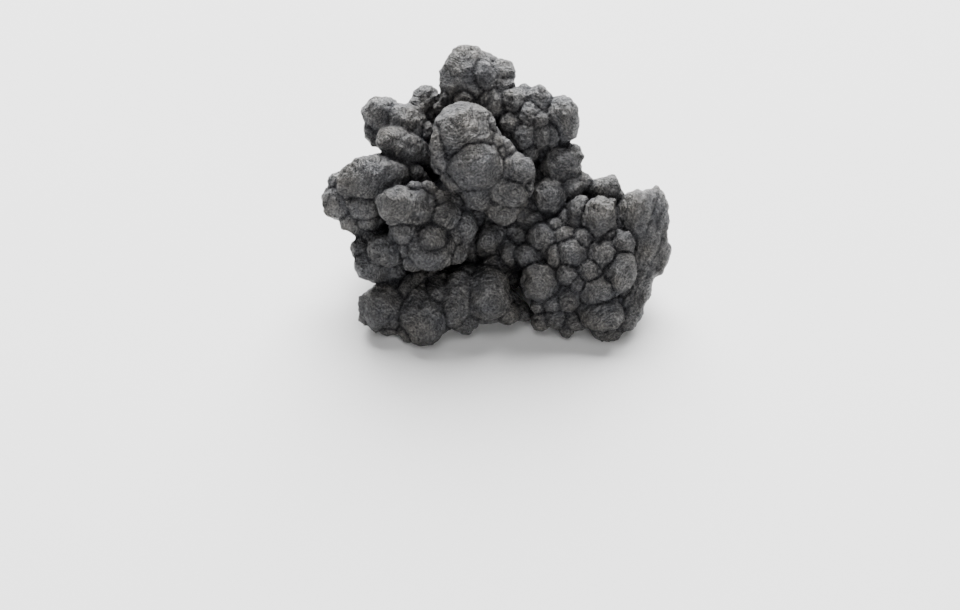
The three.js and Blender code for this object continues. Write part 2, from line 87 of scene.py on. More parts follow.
# %% The seen lobes. Bodies: across, up, near, three half sizes. Knobs: the six measures above
LOBES = {
    "core": {
        "root": (0, -2, -6),
        "fill": 0.9,
        "seam": 0.3,
        "bodies": [(0, -1.5, -5.5, 8, 7, 5.5)],
        "knobs": [
            (-0.7, -4.0, -0.1, 1.3, 1.4, 0),
        ],
    },
    "crown": {
        "root": (-2, 5, -7),
        "fill": 1.3,
        "seam": 0.24,
        "bodies": [(-0.6, 10.6, -3.9, 2.6, 3.0, 2.6)],
        "knobs": [
            (-2.95, 12.5, -3.5, 3.1, 4.2, 0),
            (-1.5, 14.3, -4.6, 2.0, 1.75, 0),
            (-1.6, 13.3, -1.85, 1.4, 1.9, 0),
            (0.7, 13.5, -3.9, 1.5, 1.75, 0),
            (0.9, 12.2, -2.7, 1.3, 0.85, 12),
            (-5.1, 11.2, -2.2, 0.75, 0.75, 0),
            (-3.3, 10.9, -1.5, 1.3, 1.25, 0),
            (-1.4, 11.0, -1.7, 0.85, 0.9, 0),
            (-0.1, 10.3, -1.6, 0.8, 1.4, 0),
            (-1.3, 9.6, -1.7, 0.75, 0.75, 0),
            (-6.1, 9.8, -2.6, 0.6, 0.65, 0),
        ],
    },
    "upper_right_fan": {
        "root": (2.5, 4, -7),
        "fill": 0.8,
        "seam": 0.26,
        "bodies": [(3.9, 7.9, -4.2, 4.0, 4.0, 3.6)],
        "knobs": [
            (1.9, 10.7, -2.1, 1.3, 1.5, 0),
            (3.0, 11.7, -3.4, 0.8, 0.9, 0),
            (4.7, 11.0, -2.4, 1.15, 1.5, 0),
            (7.35, 8.75, -2.2, 1.65, 2.5, 5),
            (3.6, 9.0, -1.4, 1.05, 1.4, 0),
            (4.75, 8.5, -0.8, 0.65, 0.8, 0),
            (1.4, 8.3, -1.5, 1.1, 1.05, 0),
            (3.0, 6.8, -1.0, 1.15, 1.25, 0),
            (5.0, 6.9, -1.1, 1.0, 1.3, 0),
            (3.7, 5.3, -1.5, 0.85, 1.15, 0),
            (6.1, 7.1, -1.4, 0.75, 1.25, 0),
        ],
    },
    "front_lobe": {
        "root": (-0.5, 1, -5),
        "fill": 1.5,
        "seam": 0.24,
        "bodies": [(0.9, 2.2, 1.2, 3.3, 3.8, 2.6)],
        "knobs": [
            (-3.2, 6.5, 2.2, 3.65, 4.15, 0),
            (-2.35, 4.1, 3.75, 2.75, 2.8, 0),
            (-5.75, 5.7, 3.6, 1.25, 2.5, 5),
            (-5.9, 4.2, 2.9, 1.0, 1.3, 0),
            (-4.4, 2.5, 2.9, 1.3, 1.3, 0),
            (-0.6, 8.1, 3.4, 0.8, 0.95, 0),
            (-0.2, 6.5, 3.5, 0.95, 0.75, 0),
            (1.2, 5.8, 2.6, 0.7, 0.9, 0),
            (0.25, 5.2, 3.0, 0.85, 0.85, 0),
            (2.4, 3.3, 2.45, 2.05, 1.7, -15),
            (1.6, 1.0, 2.5, 2.15, 1.65, -10),
            (0.9, -1.1, 1.85, 1.8, 1.5, 0),
            (-2.0, 0.6, 2.1, 1.5, 1.65, 0),
            (3.4, 1.5, 2.45, 0.8, 1.3, 0),
        ],
    },
    "upper_left_fingers": {
        "root": (-3.5, 3.5, -7),
        "fill": 0.5,
        "seam": 0.2,
        "bodies": [(-8.3, 6.4, -5.2, 3.2, 2.3, 2.2)],
        "knobs": [
            (-12.0, 9.15, -4.2, 2.25, 2.1, 0),
            (-12.9, 7.4, -4.4, 1.15, 1.85, 15),
            (-9.4, 8.5, -2.8, 2.25, 1.65, -38),
            (-10.1, 5.95, -1.5, 2.85, 1.75, -22),
            (-7.4, 10.6, -4.8, 1.55, 1.85, 0),
            (-7.3, 7.6, -2.8, 0.9, 0.9, 0),
        ],
    },
    "left_lobe": {
        "root": (-4, -0.5, -7),
        "fill": 1.2,
        "seam": 0.24,
        "bodies": [(-11.7, 0.9, -3.3, 4.8, 3.1, 2.7)],
        "knobs": [
            (-12.9, 2.4, -1.0, 3.85, 2.7, 6),
            (-8.5, 3.0, -1.2, 0.9, 1.0, 0),
            (-17.0, 2.1, -2.4, 0.9, 1.0, 20),
            (-16.6, -0.2, -2.5, 1.95, 1.9, 0),
            (-14.9, -2.0, -2.7, 1.9, 1.6, -25),
            (-13.8, -0.3, -1.4, 2.0, 2.1, 0),
            (-13.5, -1.9, -1.6, 1.4, 1.3, 0),
        ],
    },
    "left_front_lobe": {
        "root": (-2, -2, -6),
        "fill": 1.4,
        "seam": 0.26,
        "bodies": [(-6.9, -2.6, 0.5, 4.4, 3.8, 2.9)],
        "knobs": [
            (-9.5, -0.4, 2.0, 3.2, 2.2, 0),
            (-6.8, -4.9, 1.6, 2.6, 2.6, 0),
            (-6.7, -4.4, 2.85, 1.8, 1.55, 0),
            (-8.7, 1.4, 2.4, 0.9, 0.8, 0),
            (-7.3, 1.3, 1.7, 0.95, 0.95, 0),
            (-5.7, 0.2, 1.9, 0.8, 0.9, 0),
            (-5.1, -1.5, 2.4, 1.25, 1.3, 0),
            (-4.2, -0.2, 1.4, 0.8, 0.9, 0),
            (-3.0, -2.6, 1.5, 1.2, 1.65, 0),
            (-9.4, -3.4, 1.9, 1.35, 1.3, 0),
            (-4.1, -5.5, 1.2, 1.25, 1.25, 0),
            (-8.7, -6.6, 1.4, 1.2, 1.0, 10),
            (-4.3, -3.8, 2.1, 0.75, 0.75, 0),
            (-9.2, -5.2, 1.45, 1.0, 1.1, 0),
        ],
    },
    "lower_left_fingers": {
        "root": (-4, -3.5, -7),
        "fill": 0.9,
        "seam": 0.24,
        "bodies": [(-10, -5.2, -3.4, 3.2, 2.4, 2.4)],
        "knobs": [
            (-11.5, -5.2, -0.4, 1.95, 1.75, 0),
            (-14.4, -5.0, -2.6, 1.1, 1.05, 0),
            (-12.5, -7.2, -1.7, 2.7, 1.55, -5),
            (-12.8, -3.6, -2.6, 1.4, 1.2, 0),
        ],
    },
    "foot_lobe": {
        "root": (-1.5, -5.5, -6),
        "fill": 0.9,
        "seam": 0.26,
        "bodies": [(-5.2, -9.8, -2.0, 6.6, 3, 2.6)],
        "knobs": [
            (-12.0, -11.4, -1.4, 2.7, 2.45, 15),
            (-13.3, -12.0, -1.5, 1.4, 1.5, 0),
            (-7.5, -12.5, 0.1, 2.4, 3.05, 0),
            (-6.3, -10.0, 0.7, 0.95, 1.15, 0),
            (-4.1, -10.3, 0.4, 1.5, 3.2, -10),
            (-0.5, -9.8, 0.3, 2.2, 2.9, 0),
            (-3.1, -13.2, -0.8, 1.0, 1.1, 0),
            (1.4, -12.0, -1.0, 1.25, 1.2, 0),
            (-9.3, -14.3, -0.2, 0.7, 0.95, 0),
            (-11.5, -13.7, -1.4, 0.9, 0.75, 0),
            (-0.6, -12.4, -0.6, 1.1, 0.75, 0),
            (-9.2, -9.7, -1.0, 1.6, 1.2, 0),
            (-3.4, -8.0, -0.2, 1.3, 1.0, 35),
            (-0.2, -6.9, -1.0, 1.1, 1.2, 0),
            (3.0, -12.0, -2.4, 1.2, 0.9, 0),
        ],
    },
    "right_lobe": {
        "root": (6, -4.5, -7),
        "fill": 0.35,
        "seam": 0.3,
        "bodies": [(8.6, -6.3, -3.5, 6.4, 6.1, 4.7)],
        "knobs": [
            (4.2, -2.0, -0.9, 1.2, 1.1, 0),
            (5.05, -3.8, 0.3, 1.5, 1.65, 0),
            (2.7, -3.9, -0.9, 0.85, 0.85, 0),
            (2.4, -2.6, -1.6, 0.6, 0.6, 0),
            (1.45, -5.6, -0.4, 0.85, 1.3, 0),
            (3.5, -5.9, 0.4, 1.3, 1.25, 0),
            (4.65, -8.6, 0.9, 1.95, 2.05, 0),
            (6.3, -2.6, 0.3, 0.9, 0.85, 0),
            (7.4, -3.6, 1.1, 0.9, 0.85, 0),
            (8.25, -5.4, 1.4, 1.4, 1.6, 0),
            (9.3, -4.0, 1.3, 0.9, 0.95, 0),
            (6.3, -5.8, 1.5, 0.65, 1.0, 0),
            (11.45, -5.5, 1.2, 1.4, 1.3, 0),
            (7.75, -7.8, 1.8, 0.9, 1.0, 0),
            (10.1, -7.4, 1.7, 1.0, 0.95, 0),
            (7.9, -10.4, 0.8, 0.95, 1.4, -15),
            (8.8, -8.9, 1.6, 0.65, 0.75, 0),
            (13.5, -7.5, 0.6, 1.7, 2.3, -12),
            (10.9, -9.5, 1.0, 1.75, 1.55, 0),
            (11.5, -12.1, 0.3, 2.4, 1.85, 0),
            (13.6, -4.5, 0.0, 1.45, 1.5, -20),
            (11.15, -1.6, 0.3, 1.95, 2.15, 0),
            (8.9, -1.1, -0.2, 1.35, 1.75, -25),
            (7.6, -1.7, 0.0, 0.65, 1.0, 0),
            (12.0, -3.6, 0.7, 0.95, 0.5, 25),
            (12.6, 0.0, -0.9, 0.5, 0.5, 0),
            (12.1, -13.9, -1.1, 1.8, 1.15, 0),
            (4.9, -12.8, -1.2, 1.15, 1.2, 0),
            (6.5, -12.4, -0.6, 1.1, 1.2, 0),
            (6.2, -10.8, 0.1, 1.0, 1.0, 0),
            (8.7, -12.9, -0.6, 1.4, 0.9, 0),
            (7.7, -13.9, -0.9, 0.75, 0.75, 0),
            (4.5, -11.2, -0.4, 0.8, 0.75, 0),
        ],
    },
    "right_shoulder": {
        "root": (5, -1.5, -8),
        "fill": 0.5,
        "seam": 0.2,
        "bodies": [(7, 1.0, -4.4, 3.4, 2.6, 2.4)],
        "knobs": [
            (5.75, 0.5, -0.9, 1.7, 1.9, 10),
            (4.6, -0.6, -1.2, 0.85, 0.9, 0),
            (8.2, 1.2, -1.6, 1.0, 1.2, 0),
            (9.5, 2.0, -2.4, 0.85, 1.05, 0),
            (11.7, 1.45, -2.2, 1.7, 1.3, 20),
            (13.4, 0.6, -2.2, 0.5, 0.7, 0),
            (7.0, 3.9, -2.3, 2.4, 1.9, 25),
            (8.0, 4.65, -2.6, 1.5, 1.4, 40),
        ],
    },
    "right_edge": {
        "root": (8, -5, -7),
        "fill": 1.4,
        "seam": 0.07,
        "bodies": [(14.4, -4.6, -3.3, 3.5, 5.6, 2.8), (13.8, -9.6, -2.7, 2.2, 3.1, 2.4)],
        "knobs": [
            (14.9, -1.4, -1.4, 1.7, 2.7, -10),
            (17.2, -1.5, -2.8, 1.3, 3.2, 0),
            (17.1, -5.3, -3.2, 1.6, 2.5, 3),
            (16.0, -4.4, -2.0, 1.5, 3.2, -8),
            (16.7, -6.7, -2.9, 1.05, 1.3, -20),
            (15.6, -9.2, -1.7, 1.15, 1.8, 0),
            (14.9, -11.6, -1.3, 0.95, 1.4, 0),
            (14.0, -12.8, -1.0, 1.0, 1.05, 0),
        ],
    },
}
print("seen knobs:", sum(len(lobe["knobs"]) for lobe in LOBES.values()))

# %% The far side and the underside, which no picture shows: heads as across, up, near, size
FAR_ROOT = (0, -1, -6)
FAR_FILL = 0.9
FAR_SEAM = 0.26
FAR_BODIES = [(0, 1, -8.8, 10.5, 5.5, 4.2), (0, -5.3, -6.4, 9, 3.5, 4)]
FAR_HEADS = [
    (-8.5, 5.5, -8, 2.5),
    (-2.5, 8, -8, 2.8),
    (3.2, 6.5, -8.5, 2.6),
    (6.5, 3.5, -8.5, 2.2),
    (12, -1.8, -7, 2.2),
    (14, -5.5, -6.3, 2.2),
    (-13, -0.5, -6.5, 2.3),
    (-11.2, 2.2, -8, 2.1),
    (-9.5, -1.5, -10.5, 2.5),
    (-4.5, 2.5, -12, 2.7),
    (1.5, 3, -12, 2.7),
    (7, 0, -11.5, 2.6),
    (11, -4, -9.3, 2.4),
    (-6.5, -3.4, -12.4, 2.6),
    (4, -3, -12.8, 2.7),
    (-1, -0.8, -13.4, 2.6),
    (-9, -5.2, -7.5, 2),
    (-3.5, -6.1, -8.5, 2.1),
    (1.5, -7.5, -6.8, 2.1),
    (7, -7.7, -6.5, 2.2),
    (11.5, -8.9, -5, 2.1),
    (-5.5, -8.2, -6, 2),
]
BUD_SIZES = np.array([0.66, 0.5, 0.58, 0.46])
BUD_TILT = np.radians(62)
BUD_REACH = 0.78
print("far heads:", len(FAR_HEADS), "with", len(BUD_SIZES), "buds each")

# %% [markdown]
# ## Knobs as drops
# A knob is a drop: the front of an ellipsoid, with straight sides that run back to its lobe's root and
# meet a little past it. Metaballs would give soft joins, but the real knobs meet in sharp creases, so
# each drop is a closed surface of its own, a function of two parameters: the angle from its tip and the
# angle round its growth axis.

# %% Heads as arrays: middle, three axes, three half sizes, root
DEPTH_SHARE = 0.95


def measured_heads(root, rows):
    """Heads of one lobe. The width and height axes are turned in the picture plane, and the half depth
    is a share of the smaller of the other two half sizes."""
    rows = np.asarray(rows, float)
    share = 1 - rows[:, 2] / EYE_DISTANCE
    turn = np.radians(rows[:, 5])
    width = np.outer(np.cos(turn), ACROSS) + np.outer(np.sin(turn), UP)
    height = np.outer(np.cos(turn), UP) - np.outer(np.sin(turn), ACROSS)
    axes = np.stack([width, height, np.broadcast_to(NEAR, width.shape)], axis=1)
    depth = DEPTH_SHARE * rows[:, 3:5].min(axis=1)
    sizes = np.column_stack([rows[:, 3], rows[:, 4], depth]) * share[:, None]
    roots = np.broadcast_to(standing([root]), width.shape)
    return standing(rows[:, :3]), axes, sizes, roots


def far_heads(root, rows):
    """Far heads, each with a ring of buds: a bud's middle lies at a lean from the growth axis, turned
    round it by its share of a full circle plus the head's number in radians."""
    rows = np.asarray(rows, float)
    middle = standing(rows[:, :3])
    root = standing([root])[0]
    growth = unit(middle - root)
    side = unit(np.cross(growth, UP))
    other = np.cross(growth, side)
    turn = np.arange(len(BUD_SIZES)) / len(BUD_SIZES) * 2 * np.pi + np.arange(len(rows))[:, None]
    ring = np.cos(turn)[..., None] * side[:, None] + np.sin(turn)[..., None] * other[:, None]
    lean = np.sin(BUD_TILT) * ring + np.cos(BUD_TILT) * growth[:, None]
    size = rows[:, 3]
    buds = middle[:, None] + BUD_REACH * size[:, None, None] * lean
    middles = np.concatenate([middle, buds.reshape(-1, 3)])
    radii = np.concatenate([size, np.outer(size, BUD_SIZES).ravel()])
    axes = np.broadcast_to(np.stack([ACROSS, UP, NEAR]), (len(radii), 3, 3))
    return middles, axes, np.repeat(radii[:, None], 3, axis=1), np.broadcast_to(root, middles.shape)


lobes = [
    (measured_heads(lobe["root"], lobe["knobs"]), lobe["bodies"], lobe["fill"])
    for lobe in LOBES.values()
]
lobes.append((far_heads(FAR_ROOT, FAR_HEADS), FAR_BODIES, FAR_FILL))
middles, axes, sizes, roots = (np.concatenate(part) for part in zip(*[heads for heads, _, _ in lobes]))
growths = unit(middles - roots)
counts = [len(heads[0]) for heads, _, _ in lobes]
# A lobe's seam also sets how dark the painted shade along its creases is.
seams = np.repeat([lobe["seam"] for lobe in LOBES.values()] + [FAR_SEAM], counts)
lobe_names = np.repeat([*LOBES, "far"], counts)
print("knobs in all:", len(middles))

# %% Surfaces of the drops and of the bodies
DOME_ANGLE = np.radians(100)
TAIL_PAST = 0.4
ODD_DIRECTION = np.array([0.3, 0.5, 0.8])


def drop_surfaces(heads, swell, rows=16, columns=32):
    """For each head, a point at angle a from the tip and b round the growth axis: the direction
    cos a * growth + sin a * (cos b * side + sin b * other), taken out to the ellipsoid and further by
    the swell, with one more row of points drawn together at the end of the tail."""
    middles, axes, sizes, roots = heads
    growths = unit(middles - roots)
    side = unit(np.cross(growths, ODD_DIRECTION))
    other = np.cross(growths, side)
    tip_angle = np.linspace(0, DOME_ANGLE, rows)[:, None, None]
    round_angle = np.linspace(0, 2 * np.pi, columns, endpoint=False)[None, :, None]
    rim = np.cos(round_angle) * side[:, None, None] + np.sin(round_angle) * other[:, None, None]
    out = np.cos(tip_angle) * growths[:, None, None] + np.sin(tip_angle) * rim
    along = np.einsum("nrci,nki->nrck", out, axes) * (sizes + swell)[:, None, None]
    dome = middles[:, None, None] + np.einsum("nrck,nki->nrci", along, axes)
    tail = roots - TAIL_PAST * (middles - roots)
    end = np.broadcast_to(tail[:, None, None], (len(tail), 1, columns, 3))
    return np.concatenate([dome, end], axis=1)


def body_surfaces(bodies, swell, rows=24, columns=48):
    """Ellipsoids: middle + across * sin a cos b + up * sin a sin b + near * cos a, in half sizes that
    are larger by the swell."""
    table = np.asarray(bodies, float)
    a = np.linspace(0, np.pi, rows)[:, None]
    b = np.linspace(0, 2 * np.pi, columns, endpoint=False)[None, :]
    ball = np.stack(np.broadcast_arrays(np.sin(a) * np.cos(b), np.sin(a) * np.sin(b), np.cos(a)), axis=-1)
    scaled = ball[None] * (table[:, None, None, 3:6] + swell)
    return standing(table[:, :3])[:, None, None] + scaled @ np.stack([ACROSS, UP, NEAR])


def grid_faces(count, rows, columns):
    """Quads of count grids, each closed round its columns: corner (row, column) of grid n has the
    number (n * rows + row) * columns + column."""
    first = np.arange(count)[:, None, None] * rows * columns
    row = np.arange(rows - 1)[None, :, None] * columns
    column = np.arange(columns)[None, None, :]
    following = (column + 1) % columns
    corners = [row + column, row + columns + column, row + columns + following, row + following]
    return np.stack([first + corner for corner in corners], axis=-1).reshape(-1, 4)


def joined(meshes):
    """Several (points, quads) as one, with the corner numbers of each counted on from the one before."""
    starts = np.cumsum([0] + [len(points) for points, _ in meshes])
    points = np.concatenate([points for points, _ in meshes])
    return points, np.concatenate([quads + start for (_, quads), start in zip(meshes, starts)])


print("rows and columns of a drop:", drop_surfaces(lobes[0][0], 0).shape[1:3])

# %% [markdown]
# ## One grown piece
# The drops overlap, and on the real piece they are one metal body. A boolean union of so many drops is
# slow and leaves slivers. A voxel remesh gives the union at once, with even small faces that can be
# worked on point by point afterwards. Each lobe is joined from swollen drops and then shrunk back by the
# same distance: round tips come back to their size, while narrow gaps stay shut.

# %% Join the drops by voxel remeshing, in millimetres
LOBE_VOXEL = 0.3
VOXEL = 0.24


def new_mesh(name, points, quads):
    """A mesh from an array of points and an array of four corner numbers per face."""
    mesh = bpy.data.meshes.new(name)
    mesh.vertices.add(len(points))
    mesh.vertices.foreach_set("co", np.asarray(points, np.float32).ravel())
    mesh.loops.add(quads.size)
    mesh.loops.foreach_set("vertex_index", quads.astype(np.int32).ravel())
    mesh.polygons.add(len(quads))
    mesh.polygons.foreach_set("loop_start", np.arange(0, quads.size, 4, dtype=np.int32))
    mesh.update(calc_edges=True)
    return mesh


def grown_together(points, quads, voxel):
    """Points and quads of the outer skin that the closed surfaces share, in faces of one voxel."""
    lumps = bpy.data.objects.new("lumps", new_mesh("lumps", points, quads))
    bpy.context.scene.collection.objects.link(lumps)
    remesh = lumps.modifiers.new("join", "REMESH")
    remesh.mode = "VOXEL"
    remesh.voxel_size = voxel
    skin = lumps.evaluated_get(bpy.context.evaluated_depsgraph_get()).to_mesh()
    skin_points = np.empty(len(skin.vertices) * 3, np.float32)
    skin.vertices.foreach_get("co", skin_points)
    skin_quads = np.empty(len(skin.loops), np.int32)
    skin.loops.foreach_get("vertex_index", skin_quads)
    bpy.data.objects.remove(lumps)
    return skin_points.reshape(-1, 3).astype(float), skin_quads.reshape(-1, 4)


def skin_normals(points, quads):
    """Unit normals at the points: the sum of their faces' diagonals' cross products."""
    a, b, c, d = points[quads].transpose(1, 0, 2)
    face = np.cross(c - a, d - b)
    total = np.stack([np.bincount(quads.ravel(), np.repeat(face[:, k], 4), len(points)) for k in range(3)])
    return unit(total.T)


def lobe_skin(heads, bodies, fill):
    """One lobe: its drops and bodies swollen by the fill and joined, and the skin moved back by it."""
    grids = [drop_surfaces(heads, fill), body_surfaces(bodies, fill)]
    meshes = [(grid.reshape(-1, 3), grid_faces(*grid.shape[:3])) for grid in grids]
    points, quads = grown_together(*joined(meshes), LOBE_VOXEL)
    return points - fill * skin_normals(points, quads), quads


points, quads = grown_together(*joined([lobe_skin(*lobe) for lobe in lobes]), VOXEL)
print("skin points:", len(points), "triangles:", 2 * len(quads))

# %% [markdown]
# ## Which knob a point belongs to
# Creases, growth rings and tints all need to know the knob under each point, and how far the next one
# is. The distance to a drop is estimated along the ray from its middle, or from its axis where the point
# lies beside the tail. Where the two least distances are alike, two knobs meet.

# %% Nearest and second nearest knob
CREASE_WIDTH = 0.18
tails = roots - TAIL_PAST * (middles - roots)


def drop_distance(points, n):
    """Distance from drop n: |p| * (1 - 1 / |q|), with p from the middle and q the same in half sizes,
    or beside the tail |p| * (1 - t / |q|), with p from the axis and t the share of the way along it."""
    ball = points - middles[n]
    ball_q = np.linalg.norm(ball @ axes[n].T / sizes[n], axis=1)
    head = np.linalg.norm(ball, axis=1) * (1 - 1 / np.maximum(ball_q, 1e-6))
    way = middles[n] - tails[n]
    t = np.clip((points - tails[n]) @ way / (way @ way), 1e-3, 1)
    beside = points - tails[n] - t[:, None] * way
    beside_q = np.linalg.norm(beside @ axes[n].T / sizes[n], axis=1)
    tail = np.linalg.norm(beside, axis=1) * (1 - t / np.maximum(beside_q, 1e-6))
    return np.minimum(head, tail)


def nearest_knobs(points):
    """For each point the nearest knob, its distance, and the distance of the next one."""
    owner = np.zeros(len(points), int)
    least = np.full(len(points), np.inf)
    after = np.full(len(points), np.inf)
    for n in range(len(middles)):
        distance = drop_distance(points, n)
        closer = distance < least
        after = np.where(closer, least, np.minimum(after, distance))
        least = np.where(closer, distance, least)
        owner = np.where(closer, n, owner)
    return owner, least, after


owner, least, after = nearest_knobs(points)
crease = np.exp(-(after - least) / CREASE_WIDTH)
print("points near a crease:", int((crease > 0.5).sum()), "of", len(points))

# %% [markdown]
# ## Smooth random fields
# The skin's unevenness comes from two fields. Grain is gradient noise: a random slope at each corner of a
# lattice, blended smoothly. Cells are the distances to the nearest and next of one random point in each
# lattice cube, whose difference is nothing along a net of lines. Both are whole-array arithmetic.

# %% Grain and cells
GRAIN_GAIN = 1.4
CELL_SHIFT = 57


def lattice_number(corner):
    """A mixed-up whole number for each lattice corner, the same on every run."""
    i, j, k = corner.astype(np.int64).astype(np.uint32).T
    mixed = i * np.uint32(374761393) + j * np.uint32(668265263) + k * np.uint32(2246822519)
    mixed = (mixed ^ (mixed >> np.uint32(13))) * np.uint32(1274126177)
    mixed = (mixed ^ (mixed >> np.uint32(15))) * np.uint32(2654435761)
    return mixed ^ (mixed >> np.uint32(16))


def lattice_vector(corner):
    """Three numbers from 0 to 1 for each lattice corner."""
    number = lattice_number(corner)
    parts = [number & np.uint32(1023), (number >> np.uint32(10)) & np.uint32(1023), number >> np.uint32(20)]
    return np.stack(parts, axis=-1) / np.array([1023.0, 1023.0, 4095.0])


CORNERS = np.stack(np.meshgrid([0, 1], [0, 1], [0, 1], indexing="ij"), axis=-1).reshape(-1, 3)
CUBES = np.stack(np.meshgrid([-1, 0, 1], [-1, 0, 1], [-1, 0, 1], indexing="ij"), axis=-1).reshape(-1, 3)


def grain(points, size):
    """Gradient noise of about -1 to 1: the sum over a cube's corners of slope . offset, weighted by
    the fade 6t^5 - 15t^4 + 10t^3 along each axis."""
    place = points / size
    base = np.floor(place)
    part = place - base
    fade = part**3 * (part * (part * 6 - 15) + 10)
    total = np.zeros(len(points))
    for corner in CORNERS:
        slope = lattice_vector(base + corner) * 2 - 1
        weight = np.where(corner, fade, 1 - fade).prod(axis=1)
        total += weight * ((part - corner) * slope).sum(axis=1)
    return total * GRAIN_GAIN


def cells(points, size):
    """Distances to the nearest and the next random point, in cell sizes."""
    place = points / size
    base = np.floor(place)
    first = np.full(len(points), np.inf)
    second = np.full(len(points), np.inf)
    for cube in CUBES:
        spot = base + cube + lattice_vector(base + cube + CELL_SHIFT)
        distance = np.linalg.norm(place - spot, axis=1)
        second = np.minimum(second, np.maximum(first, distance))
        first = np.minimum(first, distance)
    return first, second


print("grain spans", np.round(np.percentile(grain(points, 2.0), [1, 99]), 2))

# %% [markdown]
# ## Shaping the skin
# Real knobs aren't smooth ellipsoids. They have flats and dents, they carry low blisters and wrinkles
# that run round the tip like the rings of an onion, and they meet in narrow creases. The right edge is
# drawn out into long smooth folds with fine lines along them. Each of these moves the points along their
# normals. A sculptor would brush them in by hand. Here each is one line of array arithmetic, so that its
# depth can be tuned on its own.

# %% Normals, and the arc from each knob's tip


def tip_arc(points):
    """Arc length in mm from the tip of the knob under each point: angle from the growth axis * size."""
    out = unit(points - middles[owner])
    angle = np.arccos(np.clip((out * growths[owner]).sum(axis=1), -1, 1))
    return angle * sizes[owner].mean(axis=1)


arc = tip_arc(points)
normals = skin_normals(points, quads)
knob_size = sizes[owner].min(axis=1)
print("longest arc in mm:", round(float(arc.max()), 2))

# %% Flats: every knob is a rough gem with its own turn
FLATS = 20
FLAT_RADIUS = 0.95


def flats(points):
    """How far a rough gem of flats lies out of a ball, as a share of its size: flats stand square to
    directions spread evenly over the ball by the golden angle, turned at random for each knob, and at
    angle t from the nearest one the gem's radius is the flats' radius / cos t."""
    step = np.arange(FLATS) + 0.5
    polar = np.arccos(1 - 2 * step / FLATS)
    round_angle = np.pi * (1 + np.sqrt(5)) * step
    ring = np.sin(polar)
    square = np.column_stack([ring * np.cos(round_angle), ring * np.sin(round_angle), np.cos(polar)])
    spins = np.random.default_rng(7).normal(size=(len(middles), 3, 3))
    turns = np.linalg.qr(spins)[0]
    out = np.einsum("pij,pj->pi", turns[owner], unit(points - middles[owner]))
    nearest = (out @ square.T).max(axis=1)
    return FLAT_RADIUS / nearest - 1


print("flats span", np.round(np.percentile(flats(points), [1, 99]), 3), "of a knob's size")

# %% How uneven each knob is: small knobs and the drawn-out folds are smoother
FULL_SIZE = 1.6
LEAST_SHARE = 0.45
DRAWN_OUT_SHARE = 0.3

drawn_out = lobe_names[owner] == "right_edge"
unevenness = np.where(drawn_out, DRAWN_OUT_SHARE, 1)
share = np.clip(knob_size / FULL_SIZE, LEAST_SHARE, 1) * unevenness
print("points on the drawn-out folds:", int(drawn_out.sum()))

# %% Flats with wavy edges, and dents
LARGEST_GEM = 2.4
EDGE_WAVE = 0.12
EDGE_WAVE_SIZE = 1.2
DENT_DEPTH = 0.22
DENT_SIZE = 2.6

shaken = points + EDGE_WAVE * grain(points, EDGE_WAVE_SIZE)[:, None]
gem = unevenness * (np.minimum(knob_size, LARGEST_GEM) * flats(shaken))
dents = DENT_DEPTH * share * grain(points, DENT_SIZE)
print("flats move the skin by", np.round(np.percentile(gem, [5, 95]), 2), "mm")

# %% Blisters: cells with a sunk net of lines between them
BLISTER_DEPTH = 0.14
BLISTER_SIZE = 1.4
BLISTER_EDGE = 0.3
BLISTER_LEVEL = 0.7
NET_WAVE = 0.35
NET_WAVE_SIZE = 0.9

first, second = cells(points + NET_WAVE * grain(points, NET_WAVE_SIZE)[:, None], BLISTER_SIZE)
blisters = BLISTER_DEPTH * share * (np.minimum(second - first, BLISTER_EDGE) / BLISTER_EDGE - BLISTER_LEVEL)
print("blisters move it by", np.round(np.percentile(blisters, [5, 95]), 2), "mm")

# %% Rings round the tips, wrinkles, and creases where knobs meet
RING_DEPTH = 0.04
RING_PITCH = 0.7
RING_WANDER = 3.0
RING_WANDER_SIZE = 1.6
WRINKLE_DEPTH = 0.08
WRINKLE_SIZE = 0.7
WRINKLE_STRETCH = np.array([1, 1, 1.3])

ring_phase = 2 * np.pi * arc / RING_PITCH + RING_WANDER * grain(points, RING_WANDER_SIZE)
rings = RING_DEPTH * np.sin(ring_phase)
wrinkles = WRINKLE_DEPTH * grain(points * WRINKLE_STRETCH, WRINKLE_SIZE)
creases = -seams[owner] * crease
print("deepest crease in mm:", round(float(-creases.min()), 2))

# %% Lines along the drawn-out folds
STRIA_DEPTH = 0.18
STRIA_PITCH = 0.9
STRIA_WANDER = 2.5
STRIA_WANDER_SIZE = 3.0
STRIA_CROSSING = np.array([0.94, -0.33])

in_plane = (points - PLANE_MIDDLE) @ np.column_stack([ACROSS, UP])
wander = STRIA_WANDER * grain(points, STRIA_WANDER_SIZE)
lines = in_plane @ STRIA_CROSSING * 2 * np.pi / STRIA_PITCH + wander
striae = STRIA_DEPTH * drawn_out * np.abs(np.sin(lines / 2))
print("lines stand out by", round(float(striae.max()), 2), "mm")

# %% Move the points, and keep them above the table
step_out = gem + dents + blisters + rings + wrinkles + creases + striae
moved = points + normals * step_out[:, None]
moved[:, 2] = np.maximum(moved[:, 2], 0)
print("moved by", np.round(np.percentile(step_out, [0, 5, 50, 95, 100]), 2), "mm")

# %% The finished piece
nodules = bpy.data.objects.new("lead_nodules", new_mesh("lead_nodules", moved * MM, quads))
bpy.context.scene.collection.objects.link(nodules)
nodules.data.shade_smooth()
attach(nodules, "root")
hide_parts("lead_cluster")
print("piece:", nodules.name, "with", len(nodules.data.polygons), "faces")

# %% [markdown]
# ## What the finish needs to know
# The finish paints shade into the hollows and creases, with a bluish film in the hollows, and rings follow
# each knob's tip. A material can't see those by itself, and painting them in by hand would be slow. The
# script works them out for every point and stores them on the mesh as named values.

# %% Hollows, arcs and creases stored on the points
SMOOTHING_ROUNDS = 12
HOLLOW_SPAN = 0.5
DEEP_SEAM = 0.26


